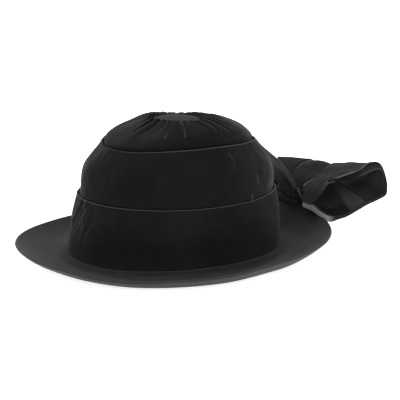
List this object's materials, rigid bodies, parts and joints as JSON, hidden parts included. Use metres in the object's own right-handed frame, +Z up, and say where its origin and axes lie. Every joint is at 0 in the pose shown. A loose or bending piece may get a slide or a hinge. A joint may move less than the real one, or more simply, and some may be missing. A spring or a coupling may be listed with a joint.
{
  "type": "velvet hat with back bow",
  "caption": "Round brimmed hat: felt brim, banded velvet crown, gathered tip with a round button, and a ribbon bow standing off the back.",
  "frame": {"origin": "middle of the whole hat's box in X and Y, on the surface it rests on", "axes": "+X to the back of the hat, where the bow is; +Y to its left side; +Z up"},
  "size_m": [0.3668, 0.2776, 0.1319],
  "materials": {
    "felt": "matt grey-black wool felt",
    "velvet": "black velvet with a soft sheen",
    "ribbon": "black velvet ribbon, folded",
    "button": "velvet-covered button, worn lighter"
  },
  "bodies": {
    "root": {"brim": "felt", "lower_band": "velvet", "middle_band": "velvet", "gathered_tip": "velvet", "top_button": "button", "back_drape": "ribbon", "right_tie": "ribbon", "left_tie": "ribbon", "bow_knot": "ribbon", "right_bow_loop": "ribbon", "left_bow_loop": "ribbon"}
  },
  "joints": []
}
